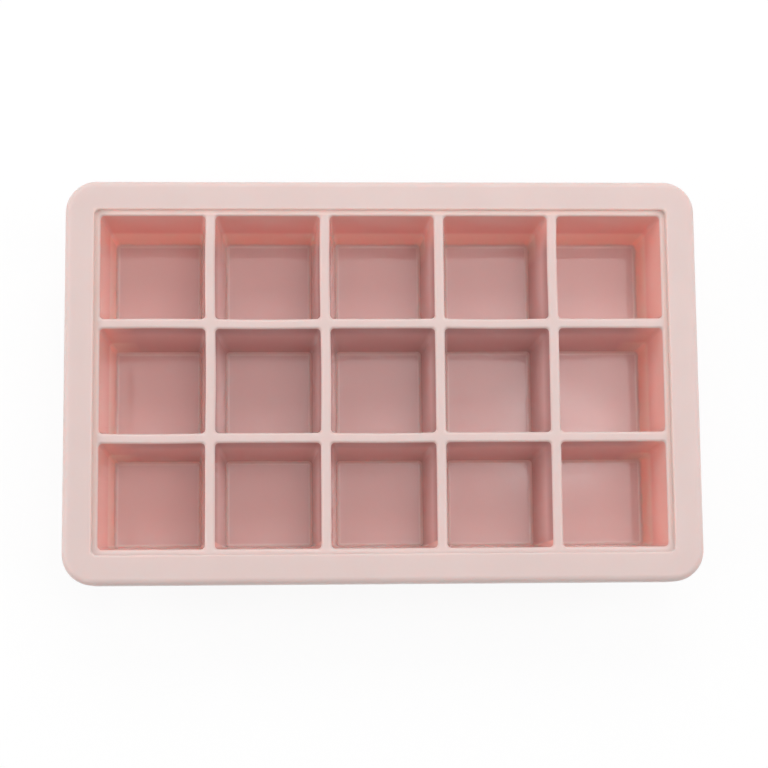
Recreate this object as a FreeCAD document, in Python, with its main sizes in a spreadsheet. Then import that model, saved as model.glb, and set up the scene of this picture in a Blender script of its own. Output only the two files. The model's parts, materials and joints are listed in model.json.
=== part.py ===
import FreeCAD, Part
import math
import os
import Sketcher

# Freezer tray for portions of baby food: a soft silicone moulding of square cells, with a stiffening
# wire ring moulded into its rim. Under the rim a skirt hangs clear of the cells' outer walls.
#
# The origin is at the middle of the flat base that the cells stand on. +X runs along the rows, +Y
# across them and +Z up, out of the cells. Lengths are in millimetres and angles in degrees.

# Each driving dimension: its alias in the sheet, its value and its meaning.
SIZES = [
    ("columns", 5, "cells along X"),
    ("rows", 3, "cells along Y"),
    ("pitch", 35.0, "from the middle of a cell to the middle of the next one"),
    ("cell_opening", 32.15, "side of a cell's square mouth, at the ledge"),
    ("cell_depth", 32.0, "from the ledge to the cell's floor"),
    ("cell_draft", 4.6, "lean of a cell's walls"),
    ("cell_corner", 1.2, "radius of the upright corners inside a cell"),
    ("cell_foot", 0.9, "radius between a cell's floor and its walls"),
    ("cell_lip", 0.8, "radius of a cell's mouth"),
    ("cell_wall", 1.6, "thickness of a cell's wall below the web"),
    ("cell_floor", 2.0, "thickness of a cell's floor"),
    ("cup_foot", 1.6, "radius round the underside of a cell"),
    ("web_depth", 8.0, "solid silicone between the cells, down from the ledge"),
    ("ledge_width", 1.6, "ledge round the cells, where a lid sits"),
    ("seat_depth", 1.6, "from the top of the rim down to the ledge"),
    ("seat_corner", 1.7, "corner radius of the lid seat, in plan"),
    ("seat_lip", 0.6, "radius of the rim's inner edge"),
    ("rim_width", 9.05, "from the lid seat to the rim's outer face"),
    ("rim_corner", 9.5, "corner radius of the rim, in plan"),
    ("rim_edge", 2.2, "radius of the rim's outer top edge"),
    ("rim_draft", 1.5, "lean of the rim's outer face"),
    ("skirt_depth", 15.0, "from the ledge down to the edge of the skirt"),
    ("skirt_wall", 2.6, "thickness of the skirt that hangs from the rim"),
    ("skirt_edge", 0.8, "radius of the skirt's lower outer edge"),
    ("wire_size", 3.0, "diameter of the stiffening wire"),
    ("wire_inset", 5.2, "from the rim's outer face to the middle of the wire"),
    ("wire_bend", 6.0, "bend radius of the wire, at its middle"),
    ("wire_gap", 0.05, "clearance round the wire"),
    ("pin_hole", 2.4, "hole left by a mould pin that held the wire"),
]

SAME_LEVEL = 1e-4

# Sizes that follow from the driving ones, as expressions on the sheet.
LEDGE = "(sizes.cell_floor + sizes.cell_depth)"
RIM_TOP = f"({LEDGE} + sizes.seat_depth)"
WEB_UNDERSIDE = f"({LEDGE} - sizes.web_depth)"
SKIRT_BOTTOM = f"({LEDGE} - sizes.skirt_depth)"
WIRE_LEVEL = f"(({RIM_TOP} + {WEB_UNDERSIDE}) / 2)"
RIM_DEPTH = "(sizes.seat_depth + sizes.skirt_depth)"
CUP_BASE = "(sizes.cell_opening + 2 * sizes.cell_wall" \
    f" - 2 * {LEDGE} * tan(sizes.cell_draft * 1 deg))"
CUP_CORNER = "(sizes.cell_corner + sizes.cell_wall)"
HOLLOW_INSET = f"(sizes.skirt_wall + {RIM_DEPTH} * tan(sizes.rim_draft * 1 deg))"
COUNTS = ("sizes.columns", "sizes.rows")


def seat_sides():
    """The lid seat's length and width."""
    edges = "sizes.cell_opening + 2 * sizes.ledge_width"
    return [f"(({count} - 1) * sizes.pitch + {edges})" for count in COUNTS]


def rim_sides(inset="0"):
    """The rim's outer length and width, less an inset on each side."""
    return [f"({side} + 2 * (sizes.rim_width - {inset}))" for side in seat_sides()]


def first_cell():
    """The middle of the first cell, from the middle of the tray."""
    return [f"(-({count} - 1) * sizes.pitch / 2)" for count in COUNTS]


def make_sheet(doc):
    sheet = doc.addObject("Spreadsheet::Sheet", "sizes")
    for row, (alias, value, meaning) in enumerate(SIZES, start=1):
        sheet.set(f"A{row}", alias)
        sheet.set(f"B{row}", str(value))
        sheet.setAlias(f"B{row}", alias)
        sheet.set(f"C{row}", meaning)
    doc.recompute()


def make_body(doc, label):
    body = doc.addObject("PartDesign::Body", label)
    body.Label = label
    return body


def add_sketch(body, name, plane="XY_Plane", at=("0", "0", "0")):
    """A sketch on one of the body's own origin planes, moved by three expressions."""
    sketch = body.newObject("Sketcher::SketchObject", name)
    support = next(f for f in body.Origin.OriginFeatures if f.Role == plane)
    sketch.AttachmentSupport = [(support, "")]
    sketch.MapMode = "FlatFace"
    for axis, expression in zip("xyz", at):
        sketch.setExpression(f"AttachmentOffset.Base.{axis}", expression)
    return sketch


def value_of(sketch, expression):
    """An expression's value as a plain number."""
    value = sketch.evalExpression(expression)
    return float(getattr(value, "Value", value))


def constrain(sketch, name, expression, *constraint):
    """Adds a named dimension and binds it to the sheet."""
    value = value_of(sketch, expression)
    index = sketch.addConstraint(Sketcher.Constraint(*constraint, value))
    sketch.renameConstraint(index, name)
    sketch.setExpression(f"Constraints.{name}", expression)


def draw_rectangle(sketch, sides, corner=None):
    """A rectangle round the sketch's origin, with round corners if a radius is given."""
    half = [value_of(sketch, side) / 2 for side in sides]
    radius = value_of(sketch, corner) if corner else 0
    up = FreeCAD.Vector(0, 0, 1)
    quarter = math.pi / 2
    starts, ends, arcs, lines = [], [], [], []
    for turn, (sign_x, sign_y) in enumerate([(-1, -1), (1, -1), (1, 1), (-1, 1)]):
        centre = FreeCAD.Vector(sign_x * (half[0] - radius), sign_y * (half[1] - radius), 0)
        angle = (turn + 2) * quarter
        starts.append(centre + radius * FreeCAD.Vector(math.cos(angle), math.sin(angle), 0))
        angle += quarter
        ends.append(centre + radius * FreeCAD.Vector(math.cos(angle), math.sin(angle), 0))
        if corner:
            arc = Part.ArcOfCircle(Part.Circle(centre, up, radius), angle - quarter, angle)
            arcs.append(sketch.addGeometry(arc))
    for turn in range(4):
        line = Part.LineSegment(ends[turn], starts[(turn + 1) % 4])
        lines.append(sketch.addGeometry(line))
    for turn, line in enumerate(lines):
        following = (turn + 1) % 4
        if corner:
            sketch.addConstraint(Sketcher.Constraint("Tangent", arcs[turn], 2, line, 1))
            sketch.addConstraint(Sketcher.Constraint("Tangent", line, 2, arcs[following], 1))
        else:
            sketch.addConstraint(Sketcher.Constraint("Coincident", line, 2, lines[following], 1))
        lies = "Vertical" if turn % 2 else "Horizontal"
        sketch.addConstraint(Sketcher.Constraint(lies, line))
    if corner:
        for arc in arcs[1:]:
            sketch.addConstraint(Sketcher.Constraint("Equal", arcs[0], arc))
        sketch.addConstraint(Sketcher.Constraint("Symmetric", arcs[0], 3, arcs[2], 3, -1, 1))
        constrain(sketch, "corner", corner, "Radius", arcs[0])
    else:
        sketch.addConstraint(Sketcher.Constraint("Symmetric", lines[0], 1, lines[2], 1, -1, 1))
    constrain(sketch, "length", sides[0], "DistanceX", lines[3], 1, lines[1], 1)
    constrain(sketch, "width", sides[1], "DistanceY", lines[0], 1, lines[2], 1)


def draw_circle(sketch, radius):
    """A circle round the sketch's origin."""
    circle = Part.Circle(FreeCAD.Vector(), FreeCAD.Vector(0, 0, 1), value_of(sketch, radius))
    index = sketch.addGeometry(circle)
    sketch.addConstraint(Sketcher.Constraint("Coincident", index, 3, -1, 1))
    constrain(sketch, "radius", radius, "Radius", index)


def extrude(body, kind, name, sketch, length, taper="0", upwards=True):
    """A Pad or a Pocket along +Z or -Z. A positive taper widens it away from its sketch."""
    feature = body.newObject(f"PartDesign::{kind}", name)
    feature.Profile = sketch
    feature.setExpression("Length", length)
    feature.setExpression("TaperAngle", taper)
    feature.Reversed = upwards == (kind == "Pocket")
    body.Document.recompute()
    return feature


def repeat(body, name, feature, sketch, counts, spacings):
    """Copies a feature over a grid with even spacings."""
    pattern = body.newObject("PartDesign::LinearPattern", name)
    pattern.Originals = [feature]
    for i, axis in enumerate(("H_Axis", "V_Axis")):
        suffix = ("", "2")[i]
        setattr(pattern, f"Direction{suffix}", (sketch, [axis]))
        setattr(pattern, f"Mode{suffix}", "Spacing")
        setattr(pattern, f"Spacings{suffix}", [])
        pattern.setExpression(f"Offset{suffix}", spacings[i])
        pattern.setExpression(f"Occurrences{suffix}", counts[i])
    body.Tip = pattern
    body.Document.recompute()


def round_edges(body, name, radius, chosen):
    """Fillets each edge of the body so far for which chosen(edge) is true."""
    base = body.Tip
    names = [f"Edge{i}" for i, edge in enumerate(base.Shape.Edges, start=1) if chosen(edge)]
    fillet = body.newObject("PartDesign::Fillet", name)
    fillet.Base = (base, names)
    fillet.setExpression("Radius", radius)
    body.Document.recompute()


def spans(edge, low, high):
    """Whether an edge runs from one level to another."""
    box = edge.BoundBox
    return abs(box.ZMin - low) < SAME_LEVEL and abs(box.ZMax - high) < SAME_LEVEL


def inside(edge, sides):
    """Whether an edge lies within a rectangle round the origin."""
    box = edge.BoundBox
    reach = (max(-box.XMin, box.XMax), max(-box.YMin, box.YMax))
    return all(far < side / 2 for far, side in zip(reach, sides))


def sweep_wire(body, kind, name, radius):
    """Sweeps a round section along the wire's path round the rim, from the start of a long side."""
    sides = rim_sides("sizes.wire_inset")
    path = add_sketch(body, f"{name}_path", at=("0", "0", WIRE_LEVEL))
    draw_rectangle(path, sides, "sizes.wire_bend")
    start = (f"-{sides[1]} / 2", WIRE_LEVEL, f"sizes.wire_bend - {sides[0]} / 2")
    section = add_sketch(body, f"{name}_section", "YZ_Plane", start)
    draw_circle(section, radius)
    body.Document.recompute()
    pipe = body.newObject(f"PartDesign::{kind}", name)
    pipe.Profile = section
    pipe.Spine = (path, [f"Edge{i + 1}" for i in range(len(path.Shape.Edges))])
    body.Document.recompute()


def make_rim(body):
    """The rim's block with its hollow underside, which leaves the skirt, and the seat for a lid."""
    outline = add_sketch(body, "rim_outline", at=("0", "0", RIM_TOP))
    draw_rectangle(outline, rim_sides(), "sizes.rim_corner")
    extrude(body, "Pad", "rim_block", outline, RIM_DEPTH, "-sizes.rim_draft", upwards=False)
    hollow = add_sketch(body, "hollow_outline", at=("0", "0", SKIRT_BOTTOM))
    draw_rectangle(hollow, rim_sides(HOLLOW_INSET), f"sizes.rim_corner - {HOLLOW_INSET}")
    extrude(body, "Pocket", "skirt_hollow", hollow, "sizes.skirt_depth - sizes.web_depth")
    seat = add_sketch(body, "seat_outline", at=("0", "0", RIM_TOP))
    draw_rectangle(seat, rim_sides("sizes.rim_width"), "sizes.seat_corner")
    extrude(body, "Pocket", "lid_seat", seat, "sizes.seat_depth", upwards=False)


def make_cells(body):
    """The cups below the web and the cells inside them, drafted alike."""
    pitches = ("sizes.pitch", "sizes.pitch")
    outline = add_sketch(body, "cup_outline", at=(*first_cell(), "0"))
    draw_rectangle(outline, (CUP_BASE, CUP_BASE))
    cup = extrude(body, "Pad", "cup", outline, WEB_UNDERSIDE, "sizes.cell_draft")
    repeat(body, "cups", cup, outline, COUNTS, pitches)
    web = value_of(outline, WEB_UNDERSIDE)
    round_edges(body, "cup_corners", CUP_CORNER, lambda e: spans(e, 0, web))
    round_edges(body, "cup_feet", "sizes.cup_foot", lambda e: spans(e, 0, 0))

    outline = add_sketch(body, "cell_outline", at=(*first_cell(), LEDGE))
    draw_rectangle(outline, ("sizes.cell_opening", "sizes.cell_opening"))
    depth = "sizes.cell_depth"
    cell = extrude(body, "Pocket", "cell", outline, depth, "-sizes.cell_draft", upwards=False)
    repeat(body, "cells", cell, outline, COUNTS, pitches)
    floor, ledge = (value_of(outline, level) for level in ("sizes.cell_floor", LEDGE))
    round_edges(body, "cell_corners", "sizes.cell_corner", lambda e: spans(e, floor, ledge))
    round_edges(body, "cell_feet", "sizes.cell_foot", lambda e: spans(e, floor, floor))


def make_pin_holes(body):
    """Rows of holes up to the wire, between the cells, in the underside of the rim."""
    wire = rim_sides("sizes.wire_inset")
    corner = [f"(-{side} / 2)" for side in wire]
    gap = [f"({cell} + sizes.pitch / 2)" for cell in first_cell()]
    gaps = [f"{count} - 1" for count in COUNTS]
    rows = {
        "long_side": ((gap[0], corner[1]), (gaps[0], "2"), ("sizes.pitch", wire[1])),
        "short_side": ((corner[0], gap[1]), ("2", gaps[1]), (wire[0], "sizes.pitch")),
    }
    for side, (place, counts, spacings) in rows.items():
        outline = add_sketch(body, f"pin_outline_{side}", at=(*place, WEB_UNDERSIDE))
        draw_circle(outline, "sizes.pin_hole / 2")
        depth = f"{WIRE_LEVEL} - {WEB_UNDERSIDE}"
        hole = extrude(body, "Pocket", f"pin_hole_{side}", outline, depth)
        repeat(body, f"pin_holes_{side}", hole, outline, counts, spacings)


def make_tray(doc):
    """The silicone moulding, with the channel that the wire fills."""
    body = make_body(doc, "silicone_tray")
    make_rim(body)
    make_cells(body)
    sheet = doc.getObject("sizes")
    ledge, top, skirt = (value_of(sheet, level) for level in (LEDGE, RIM_TOP, SKIRT_BOTTOM))
    skirt_middle = f"{HOLLOW_INSET} - sizes.skirt_wall / 2"
    insets = ("sizes.rim_width + sizes.ledge_width / 2", "sizes.rim_width / 2", skirt_middle)
    on_ledge, on_rim, on_skirt = (
        [value_of(sheet, side) for side in rim_sides(f"({inset})")] for inset in insets
    )
    round_edges(
        body, "cell_lips", "sizes.cell_lip", lambda e: spans(e, ledge, ledge) and inside(e, on_ledge)
    )
    round_edges(
        body, "seat_lip", "sizes.seat_lip", lambda e: spans(e, top, top) and inside(e, on_rim)
    )
    round_edges(
        body, "rim_edge", "sizes.rim_edge", lambda e: spans(e, top, top) and not inside(e, on_rim)
    )
    round_edges(
        body,
        "skirt_edge",
        "sizes.skirt_edge",
        lambda e: spans(e, skirt, skirt) and not inside(e, on_skirt),
    )
    sweep_wire(body, "SubtractivePipe", "wire_channel", "sizes.wire_size / 2 + sizes.wire_gap")
    make_pin_holes(body)
    return body


def make_frame(doc):
    """The stiffening wire: one closed ring of round wire."""
    body = make_body(doc, "rim_frame")
    sweep_wire(body, "AdditivePipe", "wire_ring", "sizes.wire_size / 2")
    return body


def check(doc, bodies):
    """Stops if any object failed or a sub-part isn't one sound solid."""
    for item in doc.Objects:
        if {"Invalid", "Error"} & set(item.State):
            raise RuntimeError(f"{item.Name} failed: {item.State}")
    for body in bodies:
        if body.Shape.isNull() or not body.Shape.isValid() or len(body.Shape.Solids) != 1:
            raise RuntimeError(f"{body.Label} is not one sound solid")


def main():
    doc = FreeCAD.newDocument("freezer_tray")
    make_sheet(doc)
    bodies = [make_tray(doc), make_frame(doc)]
    doc.recompute()
    check(doc, bodies)
    os.makedirs("parts", exist_ok=True)
    for body in bodies:
        body.Shape.exportStep(f"parts/{body.Label}.step")
        print(body.Label, round(body.Shape.Volume / 1000, 2), "cm3")


main()
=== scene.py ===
import json
import math

import bmesh
import bpy
from bpy.props import FloatProperty, FloatVectorProperty, IntProperty, PointerProperty
from mathutils import Euler, Matrix, Vector


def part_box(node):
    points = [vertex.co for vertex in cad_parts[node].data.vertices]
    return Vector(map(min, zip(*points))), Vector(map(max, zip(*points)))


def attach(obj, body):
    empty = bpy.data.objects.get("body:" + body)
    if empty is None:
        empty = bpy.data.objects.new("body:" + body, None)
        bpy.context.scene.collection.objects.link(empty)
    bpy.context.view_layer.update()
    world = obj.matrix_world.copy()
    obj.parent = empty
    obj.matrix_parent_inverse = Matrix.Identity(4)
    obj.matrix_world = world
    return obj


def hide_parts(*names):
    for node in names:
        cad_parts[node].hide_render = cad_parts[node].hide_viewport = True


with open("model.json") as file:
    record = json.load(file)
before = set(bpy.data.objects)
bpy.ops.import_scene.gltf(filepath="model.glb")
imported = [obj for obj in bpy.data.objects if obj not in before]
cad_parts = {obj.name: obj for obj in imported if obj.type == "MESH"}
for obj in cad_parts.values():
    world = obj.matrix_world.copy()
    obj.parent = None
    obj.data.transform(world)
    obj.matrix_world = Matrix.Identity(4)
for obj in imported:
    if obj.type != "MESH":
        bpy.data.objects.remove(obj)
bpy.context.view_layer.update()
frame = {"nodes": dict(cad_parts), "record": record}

bl_info = {
    "name": "Freezer tray",
    "version": (1, 0, 0),
    "blender": (4, 5, 0),
    "location": "3D View > Sidebar > Freezer tray",
    "description": "Models a silicone freezer tray round its stiffening wire, and the stage it lies on",
    "category": "Object",
}

# +X runs along the rows of cells, +Y across them and +Z up, out of the cells. Lengths are in metres.
MM = 0.001
LOW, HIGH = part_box("silicone_tray")
WIRE_LOW, WIRE_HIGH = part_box("rim_frame")
CELLS = [
    (Vector(opening["box_m"][0]) + Vector(opening["box_m"][1])) / 2
    for opening in frame["record"]["physics"]["openings"]
]

# How near a vertex has to be to a level, or to a cutting plane, to count as on it.
TINY = 1e-6

PICTURE_WIDTH = 768
SENSOR_WIDTH_MM = 36
WHITE = (1, 1, 1, 1)

# The colour sockets of a Mix node, which has other sockets under the same names.
MIX_COLOUR_INPUTS = (6, 7)
MIX_COLOUR_OUTPUT = 2

# Scales of patterns, in patches a metre. A grain has its depth with it, in metres.
COLOUR_PATCHES = 45
WORN_PATCHES = 70
FLOOR_WAVES = 35
SATIN_GRAIN = (900, 0.01 * MM)
SMOOTH_GRAIN = (120, 0.01 * MM)
DULL_STEEL = 260
WORN_STEEL = 900
STEEL_GRAIN = (2500, 0.01 * MM)

# Which way the middle of each stretch of a divider bows: 1 is towards +X or +Y, and 0 is straight.
# The dividers that cross the rows bow along X, from the left one on, each from the back row to the
# front row. The dividers between the rows bow along Y, the back one first, each from the left on.
CROSS_BOWS = ((-1, 1, 0), (-1, 1, 0), (0, 0, 0), (-1, 0, 0))
ROW_BOWS = ((1, -1, 0, -1, 0), (-1, 0, -1, 0, 0))


def size(name, millimetres, description):
    """A length that the user can change."""
    return FloatProperty(
        name=name, default=millimetres * MM, description=description, unit="LENGTH", precision=5
    )


def colour(name, red_green_blue, description):
    return FloatVectorProperty(
        name=name, default=red_green_blue, description=description, subtype="COLOR", min=0, max=1
    )


def share(name, default, description):
    return FloatProperty(name=name, default=default, description=description, subtype="FACTOR")


def power(name, watts):
    return FloatProperty(name=name, default=watts, description="Power of the lamp", unit="POWER")


class TraySizes(bpy.types.PropertyGroup):
    """The tray's own sizes. Its outline and the places of its cells come from the frame."""

    pitch: size("Pitch", 35.0, "From the middle of a cell to the middle of the next one")
    cell_opening: size("Cell opening", 32.15, "Side of a cell's square mouth")
    cell_depth: size("Cell depth", 32.0, "From the ledge to a cell's floor")
    cell_draft: FloatProperty(
        name="Cell draft",
        default=math.radians(4.6),
        description="Lean of a cell's walls",
        subtype="ANGLE",
    )
    cell_corner: size("Cell corner", 1.2, "Radius of the upright corners inside a cell")
    cell_foot: size("Cell foot", 0.9, "Radius between a cell's floor and its walls")
    floor_crown: size("Floor crown", 0.1, "Rise of a cell's floor towards its middle")
    floor_wave: size("Floor wave", 0.22, "Height of the waves in a cell's floor")
    cell_lip: size("Cell lip", 0.8, "Radius of a cell's mouth")
    lip_land: size("Lip land", 1.2, "Flat surface that is modelled with each mouth")
    cell_wall: size("Cell wall", 1.6, "Thickness of a cell's wall below the web")
    cup_foot: size("Cup foot", 1.6, "Radius round the underside of a cell")
    cup_root: size("Cup root", 0.25, "Radius where a cup meets the web")
    web_depth: size("Web depth", 8.0, "Solid silicone between the cells, down from the ledge")
    ledge_width: size("Ledge width", 1.6, "Ledge round the cells, where a lid sits")
    seat_depth: size("Seat depth", 1.6, "From the top of the rim down to the ledge")
    seat_corner: size("Seat corner", 1.7, "Corner radius of the lid's seat, in plan")
    seat_lip: size("Seat lip", 0.6, "Radius of the rim's inner edge")
    rim_corner: size("Rim corner", 9.5, "Corner radius of the rim, in plan")
    rim_edge: size("Rim edge", 2.2, "Radius of the rim's outer top edge")
    rim_draft: FloatProperty(
        name="Rim draft",
        default=math.radians(1.5),
        description="Lean of the rim's outer face",
        subtype="ANGLE",
    )
    skirt_depth: size("Skirt depth", 15.0, "From the ledge down to the edge of the skirt")
    skirt_wall: size("Skirt wall", 2.6, "Thickness of the skirt under the rim")
    skirt_edge: size("Skirt edge", 0.8, "Radius of the skirt's lower outer edge")
    pin_hole: size("Pin hole", 2.4, "Hole left by a mould pin that held the wire")
    bow: size("Bow", 0.2, "How far the middle of a bowed divider stands out of line")
    columns: IntProperty(name="Columns", default=5, description="Cells along X")
    rows: IntProperty(name="Rows", default=3, description="Cells along Y")


class TrayFinish(bpy.types.PropertyGroup):
    """Colours and finishes of the silicone and the wire. Besides the rim's own pink, the silicone's
    pinks are painted light and painted shade.
    """

    satin_pink: colour("Satin pink", (0.71, 0.57, 0.543), "Silicone that a matt mould left hazy")
    # Painted light: the ledge and its step at both ends and along the back are painted paler and
    # redder, against the shade of the step.
    seat_painted_light: colour("Seat pink", (0.75, 0.575, 0.53), "Ledge at both ends")
    # Painted light: the ledge along the back is painted paler still, against the shade that the step
    # casts on it.
    back_ledge_painted_light: colour("Ledge pink", (0.9, 0.69, 0.64), "Ledge along the back, which is paler")
    # Painted light: redder than the rim's pink, for the red light that gathers in the cells. The cups
    # take it too.
    redder_pink_painted_light: colour("Clear pink", (0.83, 0.57, 0.545), "Silicone under a smooth surface")
    # Painted shade: the cells' walls are painted darker and redder than the rest of the silicone.
    wall_painted_shade: colour("Inner pink", (0.74, 0.47, 0.45), "Walls between the cells")
    # Painted shade: the top of the walls, behind the rim and the web, is painted darker.
    wall_top_painted_shade: colour("Deep pink", (0.55, 0.31, 0.3), "Top of the inner walls, where silicone is thick")
    # Painted light: the outermost walls are painted redder and paler, for the light that comes through
    # them.
    outer_wall_painted_light: colour("Wall pink", (0.935, 0.51, 0.45), "Outer walls, that light comes through")
    # Painted light: the outermost walls below the skirt are painted paler still, for the light that
    # comes in under it.
    under_skirt_painted_light: colour("Glow pink", (1.0, 0.74, 0.66), "Outer walls below the skirt")
    # Painted light: a paler strip along the edge of each floor, against the shade in the crease at the
    # foot of the walls.
    floor_edge_painted_light: colour("Foot pink", (0.95, 0.72, 0.68), "Edge of each cell's floor")
    glow: FloatVectorProperty(
        name="Glow",
        default=(1.0, 0.6, 0.55),
        description="How far red, green and blue light wander in the silicone, as shares",
    )
    wall_glow: FloatVectorProperty(
        name="Wall glow",
        default=(6.0, 0.8, 0.72),
        description="The same in the outer walls below the skirt",
    )
    glow_depth: size("Glow depth", 1.6, "How far light wanders in the silicone")
    edge_glow: share("Edge glow", 0.2, "How much of the glow the edge of each floor has")
    patchiness: share("Patchiness", 0.015, "How far patches of silicone differ in colour")
    wear: share("Wear", 0.12, "How far patches of silicone differ in roughness")
    sheen: share("Sheen", 0.3, "Sheen on the silicone, as a share of its roughness")
    satin: share("Satin", 0.5, "Roughness of the rim and of the outside")
    smooth: share("Smooth", 0.1, "Roughness of the walls of the cells")
    polish: share("Polish", 0.04, "Roughness of the floors of the cells")
    steel: colour("Steel", (0.62, 0.61, 0.6), "Colour of the wire")


class StageLook(bpy.types.PropertyGroup):
    """Camera, lamps and floor."""

    focal_pixels: FloatProperty(
        name="Focal length",
        default=2050.0,
        description="Focal length of the camera in widths of a pixel, in a picture 768 pixels wide",
    )
    camera_place: FloatVectorProperty(
        name="Camera place", default=(-0.02892, -0.08782, 0.65021), description="Place", unit="LENGTH"
    )
    camera_turn: FloatVectorProperty(
        name="Camera turn",
        default=[math.radians(angle) for angle in (8.016, -2.6305, -0.5373)],
        description="Turn of the camera from looking straight down",
        subtype="EULER",
    )
    floor_side: FloatProperty(
        name="Floor side", default=6.0, description="Side of the square floor", unit="LENGTH"
    )
    floor_gap: size("Floor gap", 0.05, "Air between the tray's base and the floor")
    floor_colour: colour("Floor", (0.95, 0.95, 0.95), "Colour of the floor")
    floor_white: share("Floor white", 0.9, "How far the floor is plain white where it is seen")
    lamp_distance: FloatProperty(
        name="Lamp distance", default=1.2, description="From the tray to each lamp", unit="LENGTH"
    )
    ambient: share("Ambient", 0.285, "Light from all round")
    overhead: power("Overhead lamp", 4.4)
    spot: power("Spot lamp", 0.175)
    back: power("Back lamp", 5.3)
    left: power("Left lamp", 7.0)
    right: power("Right lamp", 5.4)


# Modelling tools


def add_block(name, low, high):
    """A cube primitive from one corner to the other, left in edit mode with nothing selected."""
    low, high = Vector(low), Vector(high)
    bpy.ops.object.select_all(action="DESELECT")
    bpy.ops.mesh.primitive_cube_add(size=1, location=(low + high) / 2, scale=high - low)
    return start_editing(name)


def start_editing(name):
    """Names a new primitive, puts its place in its mesh and opens it in edit mode."""
    block = bpy.context.object
    block.name = block.data.name = name
    bpy.ops.object.transform_apply(location=True, rotation=True, scale=True)
    bpy.ops.object.mode_set(mode="EDIT")
    bpy.ops.mesh.select_all(action="DESELECT")
    return block


def pick(kind, chosen):
    """Selects just the faces or edges of the edited mesh for which chosen(item) is true."""
    bpy.ops.mesh.select_mode(type=kind)
    bpy.ops.mesh.select_all(action="DESELECT")
    mesh = bpy.context.object.data
    shape = bmesh.from_edit_mesh(mesh)
    found = [i for i in (shape.faces if kind == "FACE" else shape.edges) if chosen(i)]
    if not found:
        raise RuntimeError(f"nothing to pick on {bpy.context.object.name}")
    for item in found:
        item.select_set(True)
    bmesh.update_edit_mesh(mesh)


def at_level(item, level):
    return all(abs(vertex.co.z - level) < TINY for vertex in item.verts)


def is_upright(edge):
    """Whether an edge runs from one level to another."""
    return abs(edge.verts[0].co.z - edge.verts[1].co.z) > MM


def is_sharp(edge):
    return edge.is_manifold and edge.calc_face_angle() > math.radians(45)


def within(item, half_length, half_width):
    """Whether an item lies in an upright box round the origin."""
    return all(abs(v.co.x) < half_length and abs(v.co.y) < half_width for v in item.verts)


def round_off(radius, segments):
    bpy.ops.mesh.bevel(offset=radius, segments=segments, affect="EDGES", clamp_overlap=False)


def extrude(distance):
    """Draws the selected face up, or down, by a distance."""
    bpy.ops.mesh.extrude_region_move(TRANSFORM_OT_translate={"value": (0, 0, distance)})


def widen(new_half, old_half, centre):
    """Stretches the selection so that its half sides along X and Y go from old to new."""
    factors = [new / old for new, old in zip(new_half, old_half)]
    bpy.ops.transform.resize(value=(*factors, 1), center_override=centre)


def finish_editing():
    bpy.ops.object.mode_set(mode="OBJECT")


def apply_modifier(piece, name, kind, **settings):
    bpy.ops.object.select_all(action="DESELECT")
    piece.select_set(True)
    bpy.context.view_layer.objects.active = piece
    modifier = piece.modifiers.new(name, kind)
    for key, value in settings.items():
        setattr(modifier, key, value)
    bpy.ops.object.modifier_apply(modifier=name)


# The tray's parts


def levels(tray):
    """The ledge's, the web underside's and the skirt edge's height."""
    ledge = HIGH.z - tray.seat_depth
    return ledge, ledge - tray.web_depth, ledge - tray.skirt_depth


def outer_cells():
    """Half the length and width between the middles of the outermost cells."""
    return [max(cell[axis] for cell in CELLS) for axis in (0, 1)]


def half_floor(tray):
    """Half the side of a cell's floor."""
    return tray.cell_opening / 2 - tray.cell_depth * math.tan(tray.cell_draft)


def model_rim(tray):
    """The rim with its skirt and the lid's seat, open where the cells and cups go."""
    ledge, web, skirt = levels(tray)
    rim = add_block("tray_moulding", (LOW.x, LOW.y, skirt), HIGH)
    pick("FACE", lambda face: at_level(face, skirt))
    lean = (HIGH.z - skirt) * math.tan(tray.rim_draft)
    widen((HIGH.x - lean, HIGH.y - lean), HIGH.xy, (0, 0, skirt))
    pick("EDGE", is_upright)
    round_off(tray.rim_corner, 16)

    pick("FACE", lambda face: at_level(face, skirt))
    bpy.ops.mesh.inset(thickness=tray.skirt_wall, depth=0)
    extrude(web - skirt)
    bpy.ops.mesh.delete(type="ONLY_FACE")

    pick("FACE", lambda face: at_level(face, HIGH.z))
    border = tray.rim_corner - tray.seat_corner
    bpy.ops.mesh.inset(thickness=border, depth=0)
    seat = [far + tray.cell_opening / 2 + tray.ledge_width for far in outer_cells()]
    widen(seat, (HIGH.x - border, HIGH.y - border), (0, 0, HIGH.z))
    extrude(ledge - HIGH.z)
    bpy.ops.mesh.delete(type="ONLY_FACE")

    middle = [(side + far) / 2 for side, far in zip(seat, HIGH.xy)]
    on_top = lambda edge: at_level(edge, HIGH.z) and is_sharp(edge)
    pick("EDGE", lambda edge: on_top(edge) and within(edge, *middle))
    round_off(tray.seat_lip, 4)
    pick("EDGE", lambda edge: on_top(edge) and not within(edge, *middle))
    round_off(tray.rim_edge, 7)
    hem = [half - lean - tray.skirt_wall / 2 for half in HIGH.xy]
    under = lambda edge: at_level(edge, skirt) and is_sharp(edge)
    pick("EDGE", lambda edge: under(edge) and not within(edge, *hem))
    round_off(tray.skirt_edge, 4)
    pick("EDGE", lambda edge: under(edge) and within(edge, *hem))
    round_off(tray.skirt_edge / 2, 3)
    finish_editing()
    return rim


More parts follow.
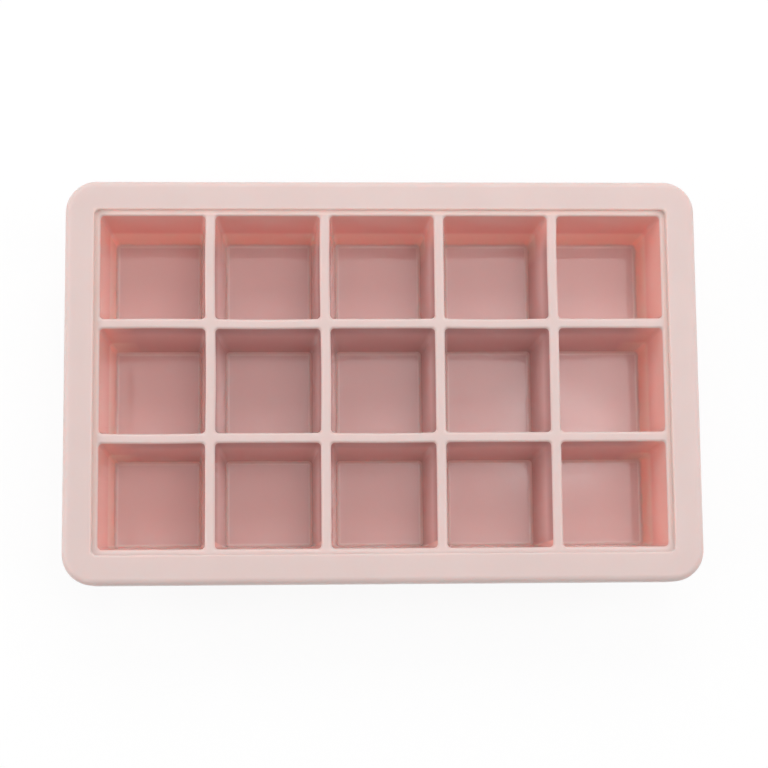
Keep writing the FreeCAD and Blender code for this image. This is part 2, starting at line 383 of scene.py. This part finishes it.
def model_well(name, centre, half, draft, top, bottom, corner, foot, land, lip):
    """A drafted square well with round corners and a round foot. Its open mouth turns out, through
    a round lip, on to a flat land that ends in a free edge."""
    corner_low = (centre.x - half, centre.y - half, bottom)
    well = add_block(name, corner_low, (centre.x + half, centre.y + half, top))
    pick("FACE", lambda face: at_level(face, bottom))
    base = half - (top - bottom) * math.tan(draft)
    widen((base, base), (half, half), (centre.x, centre.y, bottom))
    pick("EDGE", is_upright)
    round_off(corner, 5)
    pick("EDGE", lambda edge: at_level(edge, bottom))
    round_off(foot, 4)
    pick("FACE", lambda face: at_level(face, top))
    extrude(0)
    out = half + land
    widen((out, out), (half, half), (centre.x, centre.y, top))
    bpy.ops.mesh.delete(type="ONLY_FACE")
    wall_top = half + land / 4
    pick(
        "EDGE",
        lambda edge: at_level(edge, top)
        and all(max(abs(v.co.x - centre.x), abs(v.co.y - centre.y)) < wall_top for v in edge.verts)
        and is_sharp(edge),
    )
    round_off(lip, 5)
    finish_editing()
    return well


def model_cell(tray):
    """The inside of the first cell."""
    ledge = levels(tray)[0]
    return model_well(
        "cell", CELLS[0], tray.cell_opening / 2, tray.cell_draft, ledge, ledge - tray.cell_depth,
        tray.cell_corner, tray.cell_foot, tray.lip_land, tray.cell_lip,
    )


def model_cup(tray):
    """The outside of the first cell, below the web."""
    web = levels(tray)[1]
    half = tray.cell_opening / 2 - tray.web_depth * math.tan(tray.cell_draft) + tray.cell_wall
    land = 1.25 * tray.cup_root
    return model_well(
        "cup", CELLS[0], half, tray.cell_draft, web, LOW.z,
        tray.cell_corner + tray.cell_wall, tray.cup_foot, land, tray.cup_root,
    )


def finish_between(well, low, high, material):
    """Gives the faces between two levels a material of their own."""
    well.data.materials.append(material)
    bpy.ops.object.mode_set(mode="EDIT")
    pick("FACE", lambda face: low < face.calc_center_median().z < high)
    bpy.context.object.active_material_index = len(well.data.materials) - 1
    bpy.ops.object.material_slot_assign()
    finish_editing()


def copy_to(places, model):
    """Copies a piece to each of the places after the first one, and returns them all."""
    models = [model]
    for place in places[1:]:
        bpy.ops.object.select_all(action="DESELECT")
        model.select_set(True)
        bpy.context.view_layer.objects.active = model
        step = place - places[0]
        bpy.ops.object.duplicate_move(TRANSFORM_OT_translate={"value": (step.x, step.y, 0)})
        models.append(bpy.context.object)
    return models


def model_pin_hole(tray, place):
    """A blind hole up to the wire, open below."""
    web = levels(tray)[1]
    depth = (WIRE_LOW.z + WIRE_HIGH.z) / 2 - web
    bpy.ops.object.select_all(action="DESELECT")
    bpy.ops.mesh.primitive_cylinder_add(
        vertices=24,
        radius=tray.pin_hole / 2,
        depth=depth,
        location=(place.x, place.y, web + depth / 2),
    )
    hole = start_editing("pin_hole")
    pick("FACE", lambda face: at_level(face, web))
    bpy.ops.mesh.delete(type="ONLY_FACE")
    finish_editing()
    return hole


def pin_places(tray):
    """The middle of each pin hole: under the wire, in line with the gaps between the cells."""
    wire = (WIRE_HIGH.z - WIRE_LOW.z) / 2
    xs, ys = (
        [(i - (count - 2) / 2) * tray.pitch for i in range(count - 1)]
        for count in (tray.columns, tray.rows)
    )
    far_x, far_y = WIRE_HIGH.x - wire, WIRE_HIGH.y - wire
    long_sides = [Vector((x, side * far_y, 0)) for x in xs for side in (-1, 1)]
    return long_sides + [Vector((side * far_x, y, 0)) for y in ys for side in (-1, 1)]


def join(pieces):
    """Joins pieces into the first one, which stays the active one."""
    bpy.ops.object.select_all(action="DESELECT")
    for piece in pieces:
        piece.select_set(True)
    bpy.context.view_layer.objects.active = pieces[0]
    bpy.ops.object.join()


def close_levels(heights):
    """Fills the active piece's flat surface between its free edges at each height."""
    bpy.ops.object.mode_set(mode="EDIT")
    for height in heights:
        pick("EDGE", lambda edge: edge.is_boundary and at_level(edge, height))
        bpy.ops.mesh.fill(use_beauty=True)
    bpy.ops.mesh.select_all(action="SELECT")
    bpy.ops.mesh.normals_make_consistent(inside=False)
    finish_editing()


def cut_grid(tray):
    """Cuts the whole active piece by upright planes, so that it can bend."""
    bpy.ops.object.mode_set(mode="EDIT")
    cuts = 8
    step = tray.pitch / cuts
    for axis, count in enumerate((tray.columns, tray.rows)):
        normal = [0, 0, 0]
        normal[axis] = 1
        for i in range(count * cuts + 1):
            place = [0, 0, 0]
            place[axis] = (i - count * cuts / 2) * step
            bpy.ops.mesh.select_all(action="SELECT")
            bpy.ops.mesh.bisect(plane_co=place, plane_no=normal, threshold=TINY)
    finish_editing()


def lean_of(tray, x, y):
    """How far the top of the tray is pushed along X and Y at a place, in metres."""
    across = x / tray.pitch + tray.columns / 2
    along = tray.rows / 2 - y / tray.pitch
    near = 0.1  # in pitches
    on_cross = abs(across - round(across)) < near and 0 < round(across) < tray.columns
    on_row = abs(along - round(along)) < near and 0 < round(along) < tray.rows
    if on_cross and not on_row and 0 < along < tray.rows:
        return CROSS_BOWS[round(across) - 1][math.floor(along)] * tray.bow, 0
    if on_row and not on_cross and 0 < across < tray.columns:
        return 0, ROW_BOWS[round(along) - 1][math.floor(across)] * tray.bow
    return 0, 0


def bow_dividers(piece, tray):
    """Bends the top of each divider a little out of line with a lattice."""
    span = Vector(((tray.columns + 1) * tray.pitch, (tray.rows + 1) * tray.pitch, HIGH.z))
    bpy.ops.object.add(type="LATTICE", location=(0, 0, HIGH.z / 2))
    lattice = bpy.context.object
    lattice.name = "bow_cage"
    lattice.scale = span
    cage = lattice.data
    cage.points_u, cage.points_v, cage.points_w = 2 * tray.columns + 3, 2 * tray.rows + 3, 2
    cage.interpolation_type_u = cage.interpolation_type_v = "KEY_CARDINAL"
    cage.interpolation_type_w = "KEY_LINEAR"
    bpy.context.view_layer.update()
    for point in cage.points:
        if point.co.z > 0:
            lean_x, lean_y = lean_of(tray, point.co.x * span.x, point.co.y * span.y)
            point.co_deform.x += lean_x / span.x
            point.co_deform.y += lean_y / span.y
    apply_modifier(piece, "bows", "LATTICE", object=lattice)
    bpy.data.objects.remove(lattice)


# Materials


def new_material(name):
    """A material with its node tree and its Principled shader."""
    material = bpy.data.materials.new(name)
    material.use_nodes = True
    return material, material.node_tree, material.node_tree.nodes["Principled BSDF"]


def noise(tree, scale, detail=2.0):
    """Soft patches on the piece's own coordinates, from 0 to 1. The scale is in patches a metre."""
    place = tree.nodes.new("ShaderNodeTexCoord").outputs["Object"]
    patches = tree.nodes.new("ShaderNodeTexNoise")
    patches.inputs["Scale"].default_value = scale
    patches.inputs["Detail"].default_value = detail
    tree.links.new(place, patches.inputs["Vector"])
    return patches.outputs["Fac"]


def spread(tree, value, low, high, start=0.3, stop=0.7):
    """Maps a pattern's middle range to a range of values."""
    reach = tree.nodes.new("ShaderNodeMapRange")
    for socket, number in zip(("From Min", "From Max", "To Min", "To Max"), (start, stop, low, high)):
        reach.inputs[socket].default_value = number
    tree.links.new(value, reach.inputs["Value"])
    return reach.outputs["Result"]


def mix_colours(tree, factor, first, second):
    mix = tree.nodes.new("ShaderNodeMix")
    mix.data_type = "RGBA"
    tree.links.new(factor, mix.inputs["Factor"])
    for socket, value in zip(MIX_COLOUR_INPUTS, (first, second)):
        if isinstance(value, bpy.types.NodeSocket):
            tree.links.new(value, mix.inputs[socket])
        else:
            mix.inputs[socket].default_value = (*value, 1)
    return mix.outputs[MIX_COLOUR_OUTPUT]


def bump(tree, shader, height, depth):
    """Adds a height pattern to the shader's normal. Its full height is a depth in metres."""
    bumps = tree.nodes.new("ShaderNodeBump")
    bumps.inputs["Strength"].default_value = 1.0
    bumps.inputs["Distance"].default_value = depth
    tree.links.new(height, bumps.inputs["Height"])
    normal = shader.inputs["Normal"]
    if normal.is_linked:
        tree.links.new(normal.links[0].from_socket, bumps.inputs["Normal"])
    tree.links.new(bumps.outputs["Normal"], normal)


def silicone_material(name, finish, pink, roughness, *grains):
    """Silicone that light wanders into. Each grain is a scale, in patches a metre, and a depth."""
    material, tree, shader = new_material(name)
    darker, paler = (Vector(pink) * (1 + sign * finish.patchiness) for sign in (-1, 1))
    patches = spread(tree, noise(tree, COLOUR_PATCHES), 0, 1)
    tree.links.new(mix_colours(tree, patches, darker, paler), shader.inputs["Base Color"])
    glossier, duller = (roughness * (1 + sign * finish.wear) for sign in (-1, 1))
    worn = spread(tree, noise(tree, WORN_PATCHES, detail=4), glossier, duller)
    tree.links.new(worn, shader.inputs["Roughness"])
    for scale, depth in grains:
        bump(tree, shader, noise(tree, scale), depth)
    shader.inputs["IOR"].default_value = 1.43
    shader.inputs["Sheen Weight"].default_value = finish.sheen * roughness
    shader.inputs["Subsurface Weight"].default_value = 1.0
    shader.inputs["Subsurface Radius"].default_value = finish.glow
    shader.inputs["Subsurface Scale"].default_value = finish.glow_depth
    return material


def add_maths(tree, operation, first, second=None):
    """A Math node on sockets or numbers."""
    maths = tree.nodes.new("ShaderNodeMath")
    maths.operation = operation
    for socket, value in zip(maths.inputs, (first, second)):
        if isinstance(value, bpy.types.NodeSocket):
            tree.links.new(value, socket)
        elif value is not None:
            socket.default_value = value
    return maths.outputs["Value"]


def place_on(tree):
    """X, Y and Z on the piece's own coordinates."""
    split = tree.nodes.new("ShaderNodeSeparateXYZ")
    place = tree.nodes.new("ShaderNodeTexCoord").outputs["Object"]
    tree.links.new(place, split.inputs["Vector"])
    return split.outputs


def distance_outside(tree, place, half_sides):
    """How far outside an upright box round the origin a place is. It is negative inside."""
    sides = [
        add_maths(tree, "SUBTRACT", add_maths(tree, "ABSOLUTE", place[axis]), half)
        for axis, half in zip("XY", half_sides)
    ]
    return add_maths(tree, "MAXIMUM", *sides)


def between(tree, value, start, stop, soft):
    """1 between two values and 0 outside them, with soft ends that reach inwards."""
    rise = spread(tree, value, 0, 1, start=start, stop=start + soft)
    fall = spread(tree, value, 1, 0, start=stop - soft, stop=stop)
    return add_maths(tree, "MULTIPLY", rise, fall)


def tint(material, masks, pink, name="Base Color"):
    """Mixes a colour into one of a material's inputs where all the masks are 1."""
    tree = material.node_tree
    base = tree.nodes["Principled BSDF"].inputs[name]
    factor = masks[0]
    for mask in masks[1:]:
        factor = add_maths(tree, "MULTIPLY", factor, mask)
    before = base.links[0].from_socket if base.is_linked else base.default_value
    tree.links.new(mix_colours(tree, factor, before, pink), base)


def paint_wall_light_and_shade(material, tray, finish):
    """Paints shade on the top of the walls, where the rim and the web hold light back, and paints light
    on the outermost walls, paler and redder for the light that comes through them, most of all below
    the skirt. The painted light starts softly at both ends and the back, and at the foot of the wall
    along the front."""
    tree = material.node_tree
    place = place_on(tree)
    foot_x, foot_y = (far + half_floor(tray) for far in outer_cells())
    soft_start, front_start = 8 * MM, 0.5 * MM
    beside = add_maths(tree, "SUBTRACT", add_maths(tree, "ABSOLUTE", place["X"]), foot_x)
    behind = add_maths(tree, "SUBTRACT", place["Y"], foot_y)
    outside = add_maths(tree, "MAXIMUM", beside, behind)
    # Painted light on the outermost walls: this mask is 1 on them.
    outer = spread(tree, outside, 0, 1, start=-soft_start, stop=0)
    front = spread(tree, place["Y"], 1, 0, start=-foot_y - front_start, stop=-foot_y)
    outer = add_maths(tree, "MAXIMUM", outer, front)
    web, skirt = levels(tray)[1:]
    web_low, web_high = web - 2 * MM, web + 4 * MM
    skirt_low, skirt_high = skirt - 5.5 * MM, skirt - 2.5 * MM
    # Painted shade: the walls turn darker from just below the web up to their top.
    thick = spread(tree, place["Z"], 0, 1, start=web_low, stop=web_high)
    tint(material, [thick], finish.wall_top_painted_shade)
    tint(material, [outer], finish.outer_wall_painted_light)
    # Painted light, brighter still, on the outermost walls below the skirt, where light comes in under
    # it.
    below = spread(tree, place["Z"], 1, 0, start=skirt_low, stop=skirt_high)
    tint(material, [outer, below], finish.under_skirt_painted_light)
    tint(material, [outer, below], finish.wall_glow, "Subsurface Radius")


def finish_floors_and_paint_edge_light(material, tray, finish):
    """Paints light on the edge of each cell's floor, a paler strip against the shade in the crease at
    the foot of the walls, and makes the floor a little crowned and wavy. The cells stand a pitch apart,
    with one at the origin."""
    tree = material.node_tree
    place = place_on(tree)
    off_middle = [add_maths(tree, "PINGPONG", place[axis], tray.pitch / 2) for axis in "XY"]
    foot = half_floor(tray)
    strip_start, strip_full = foot - 1.2 * MM, foot - 0.8 * MM
    squares = [add_maths(tree, "POWER", off, 2.0) for off in off_middle]
    drop = add_maths(tree, "DIVIDE", add_maths(tree, "ADD", *squares), -foot * foot)
    shader = tree.nodes["Principled BSDF"]
    bump(tree, shader, drop, tray.floor_crown)
    bump(tree, shader, noise(tree, FLOOR_WAVES, detail=0), tray.floor_wave)
    outside = add_maths(tree, "MAXIMUM", *off_middle)
    # Painted light: a paler strip along the edge of each floor.
    edge = spread(tree, outside, 0, 1, start=strip_start, stop=strip_full)
    tint(material, [edge], finish.floor_edge_painted_light)
    tint(material, [edge], Vector(finish.glow) * finish.edge_glow, "Subsurface Radius")


def paint_ledge_light(material, tray, finish):
    """Paints light on the ledge and the step up from it to the rim, paler and redder than the rim,
    against the shade of the step and its crease: a little at both ends, more along the back and not
    along the front."""
    tree = material.node_tree
    place = place_on(tree)
    mouth = [far + tray.cell_opening / 2 for far in outer_cells()]
    step = tray.ledge_width + tray.seat_lip
    fade = 3 * step
    ledge = levels(tray)[0]
    above = spread(tree, place["Z"], 0, 1, start=ledge - MM, stop=ledge)
    ring = between(tree, distance_outside(tree, place, mouth), 0, step, tray.seat_lip)
    not_front = spread(tree, place["Y"], 0, 1, start=-mouth[1], stop=fade - mouth[1])
    # Painted light on the ledge and the step, at both ends and along the back.
    tint(material, [ring, not_front, above], finish.seat_painted_light)
    # More painted light on the ledge along the back, against the shade of the step.
    along = between(tree, place["Y"], mouth[1], mouth[1] + step, tray.seat_lip)
    end = mouth[0] + step
    across = between(tree, place["X"], -end, end, fade)
    tint(material, [along, across, above], finish.back_ledge_painted_light)


def steel_material(finish):
    """Drawn steel wire with a fine grain and a few dull patches."""
    material, tree, shader = new_material("drawn_steel")
    steel = Vector(finish.steel)
    dull = steel * 0.8
    patches = spread(tree, noise(tree, DULL_STEEL, detail=5), 0, 1)
    tree.links.new(mix_colours(tree, patches, dull, steel), shader.inputs["Base Color"])
    drawn, worn = 0.25, 0.45
    roughness = spread(tree, noise(tree, WORN_STEEL, detail=3), drawn, worn)
    tree.links.new(roughness, shader.inputs["Roughness"])
    scale, depth = STEEL_GRAIN
    bump(tree, shader, noise(tree, scale), depth)
    shader.inputs["Metallic"].default_value = 1.0
    return material


def stage_material(name, look):
    """The floor: pale, and nearly white where the camera or a mirror sees it, with its shadow."""
    material, tree, shader = new_material(name)
    shader.inputs["Base Color"].default_value = (*look.floor_colour, 1)
    shader.inputs["Roughness"].default_value = 0.9
    white = tree.nodes.new("ShaderNodeEmission")
    white.inputs["Color"].default_value = WHITE
    mix = tree.nodes.new("ShaderNodeMixShader")
    factor = add_maths(tree, "MULTIPLY", seen_directly(tree), look.floor_white)
    tree.links.new(factor, mix.inputs["Fac"])
    tree.links.new(shader.outputs["BSDF"], mix.inputs[1])
    tree.links.new(white.outputs["Emission"], mix.inputs[2])
    tree.links.new(mix.outputs["Shader"], tree.nodes["Material Output"].inputs["Surface"])
    return material


def seen_directly(tree):
    """1 for a ray from the camera, a mirror or through glass, and 0 for one that carries light."""
    path = tree.nodes.new("ShaderNodeLightPath").outputs
    seen = path["Is Camera Ray"]
    for name in ("Is Glossy Ray", "Is Transmission Ray"):
        seen = add_maths(tree, "MAXIMUM", seen, path[name])
    return seen


def silicone_finishes(tray, finish):
    """The materials of the rim, of the cells' walls, of their floors and of the cups. The rim's ledge,
    the walls and the floors carry painted light, and the walls painted shade.
    """
    clear = finish.redder_pink_painted_light
    satin = silicone_material(
        "satin_silicone", finish, finish.satin_pink, finish.satin, SATIN_GRAIN
    )
    # The walls' pink is painted shade. The walls also get painted shade at the top and painted light on
    # the outermost ones.
    smooth = silicone_material(
        "smooth_silicone_painted_light_and_shade", finish, finish.wall_painted_shade, finish.smooth, SMOOTH_GRAIN
    )
    # The floors and the cups take the redder pink, which is painted light.
    polished = silicone_material("polished_silicone_painted_light", finish, clear, finish.polish, SMOOTH_GRAIN)
    underside = silicone_material("cup_silicone_painted_light", finish, clear, finish.smooth, SMOOTH_GRAIN)
    paint_ledge_light(satin, tray, finish)
    paint_wall_light_and_shade(smooth, tray, finish)
    finish_floors_and_paint_edge_light(polished, tray, finish)
    return satin, smooth, polished, underside


# Operators


class TRAY_OT_tray(bpy.types.Operator):
    """Models the silicone tray: rim, lid seat, cells, cups, skirt and pin holes"""

    bl_idname = "freezer_tray.tray"
    bl_label = "Silicone tray"
    bl_options = {"REGISTER", "UNDO"}

    def execute(self, context):
        tray, finish = context.scene.tray_sizes, context.scene.tray_finish
        satin, smooth, polished, underside = silicone_finishes(tray, finish)
        ledge, web = levels(tray)[:2]
        rim = model_rim(tray)
        rim.data.materials.append(satin)
        cell = model_cell(tray)
        cell.data.materials.append(smooth)
        finish_between(cell, ledge - tray.cell_lip, HIGH.z, satin)
        finish_between(cell, LOW.z, ledge - tray.cell_depth + tray.cell_foot, polished)
        cup = model_cup(tray)
        cup.data.materials.append(underside)
        pins = pin_places(tray)
        hole = model_pin_hole(tray, pins[0])
        hole.data.materials.append(satin)
        join([rim, *copy_to(CELLS, cell), *copy_to(CELLS, cup), *copy_to(pins, hole)])
        close_levels((ledge, web))
        cut_grid(tray)
        bow_dividers(rim, tray)
        bpy.ops.object.shade_smooth_by_angle(angle=math.radians(40))
        apply_modifier(rim, "flat_faces", "WEIGHTED_NORMAL", keep_sharp=True)

        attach(rim, "root")
        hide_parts("silicone_tray")
        return {"FINISHED"}


class TRAY_OT_wire(bpy.types.Operator):
    """Gives the stiffening wire its steel finish"""

    bl_idname = "freezer_tray.wire"
    bl_label = "Stiffening wire"
    bl_options = {"REGISTER", "UNDO"}

    def execute(self, context):
        wire = frame["nodes"]["rim_frame"]
        wire.data.materials.clear()
        wire.data.materials.append(steel_material(context.scene.tray_finish))
        return {"FINISHED"}


class TRAY_OT_stage(bpy.types.Operator):
    """Sets up the floor, the lamps, the world and the camera"""

    bl_idname = "freezer_tray.stage"
    bl_label = "Stage"
    bl_options = {"REGISTER", "UNDO"}

    def execute(self, context):
        look = context.scene.tray_stage
        bpy.ops.object.select_all(action="DESELECT")
        bpy.ops.mesh.primitive_plane_add(
            size=look.floor_side, location=(0, 0, LOW.z - look.floor_gap)
        )
        floor = context.object
        floor.name = "floor"
        floor.data.materials.append(stage_material("pale_floor", look))
        far = look.lamp_distance
        overhead = self.add_lamp("overhead_lamp", far, (58.7, 76.8), (0.9, 0.36), look.overhead)
        self.fade_lamp(overhead, reach=0.4, at_reach=0.35)
        spot = self.add_lamp("spot_lamp", far, (58, 78), (0.16, 0.13), look.spot)
        self.fade_lamp(spot, reach=0.08, at_reach=0)
        self.add_lamp("back_lamp", far, (0, 46), (1.0, 0.6), look.back)
        self.add_lamp("left_lamp", far, (-90, 33), (0.5, 1.2), look.left)
        self.add_lamp("right_lamp", far, (90, 37), (0.6, 1.0), look.right)
        self.set_world(context.scene, look)
        self.set_camera(context.scene, look)
        context.scene.view_settings.view_transform = "Standard"
        return {"FINISHED"}

    def add_lamp(self, name, distance, bearing, sides, watts):
        """A soft rectangular lamp that points at the tray. Its bearing is how far it stands round
        from the back, clockwise from above, and how high, in degrees. Its first side lies in an
        upright plane along X, and its second side across that."""
        turn, lift = (math.radians(angle) for angle in bearing)
        flat = math.cos(lift)
        out = Vector((math.sin(turn) * flat, math.cos(turn) * flat, math.sin(lift)))
        bpy.ops.object.light_add(type="AREA", location=out * distance)
        lamp = bpy.context.object
        lamp.name = lamp.data.name = name
        side = Vector((0, 1, 0)).cross(out).normalized()
        lamp.rotation_euler = Matrix((side, out.cross(side), out)).transposed().to_euler()
        lamp.data.shape = "RECTANGLE"
        lamp.data.size, lamp.data.size_y = sides
        lamp.data.energy = watts
        lamp.visible_camera = False
        return lamp.data

    def fade_lamp(self, lamp, reach, at_reach):
        """Makes a lamp dimmer from its middle out, as a softbox is: 1 in the middle, and a smaller
        share of its light from a distance, its reach, outwards."""
        lamp.use_nodes = True
        tree = lamp.node_tree
        place = tree.nodes.new("ShaderNodeMapping")
        place.inputs["Location"].default_value = (-lamp.size / 2 / reach, -lamp.size_y / 2 / reach, 0)
        place.inputs["Scale"].default_value = (lamp.size / reach, lamp.size_y / reach, 0)
        surface = tree.nodes.new("ShaderNodeNewGeometry")
        tree.links.new(surface.outputs["Parametric"], place.inputs["Vector"])
        middle = tree.nodes.new("ShaderNodeTexGradient")
        middle.gradient_type = "QUADRATIC_SPHERE"
        tree.links.new(place.outputs["Vector"], middle.inputs["Vector"])
        bright = spread(tree, middle.outputs["Fac"], at_reach, 1, start=0, stop=1)
        tree.links.new(bright, tree.nodes["Emission"].inputs["Strength"])

    def set_world(self, scene, look):
        """Even light from all round, that the camera and mirrors see as white."""
        world = bpy.data.worlds.new("studio")
        world.use_nodes = True
        scene.world = world
        tree = world.node_tree
        background = tree.nodes["Background"]
        background.inputs["Color"].default_value = WHITE
        strength = spread(tree, seen_directly(tree), look.ambient, 1, start=0, stop=1)
        tree.links.new(strength, background.inputs["Strength"])

    def set_camera(self, scene, look):
        bpy.ops.object.camera_add(
            location=look.camera_place, rotation=Euler(look.camera_turn, "XYZ")
        )
        camera = bpy.context.object
        camera.name = camera.data.name = "camera"
        camera.data.sensor_width = SENSOR_WIDTH_MM
        camera.data.lens = look.focal_pixels * SENSOR_WIDTH_MM / PICTURE_WIDTH
        scene.camera = camera


class TRAY_PT_panel(bpy.types.Panel):
    """Lists the tray's pieces and sizes"""

    bl_idname = "TRAY_PT_panel"
    bl_label = "Freezer tray"
    bl_space_type = "VIEW_3D"
    bl_region_type = "UI"
    bl_category = "Freezer tray"

    def draw(self, context):
        for operator in OPERATORS:
            self.layout.operator(operator.bl_idname)
        for name in GROUPS:
            group = getattr(context.scene, name)
            box = self.layout.box()
            for key in group.bl_rna.properties.keys():
                if key not in ("rna_type", "name"):
                    box.prop(group, key)


OPERATORS = (TRAY_OT_tray, TRAY_OT_wire, TRAY_OT_stage)
GROUPS = {"tray_sizes": TraySizes, "tray_finish": TrayFinish, "tray_stage": StageLook}


def register():
    for item in (*GROUPS.values(), *OPERATORS, TRAY_PT_panel):
        bpy.utils.register_class(item)
    for name, group in GROUPS.items():
        setattr(bpy.types.Scene, name, PointerProperty(type=group))


def unregister():
    for name in GROUPS:
        delattr(bpy.types.Scene, name)
    for item in (TRAY_PT_panel, *reversed(OPERATORS), *reversed(GROUPS.values())):
        bpy.utils.unregister_class(item)


def main():
    register()
    bpy.ops.freezer_tray.tray()
    bpy.ops.freezer_tray.wire()
    bpy.ops.freezer_tray.stage()


if __name__ == "__main__":
    main()
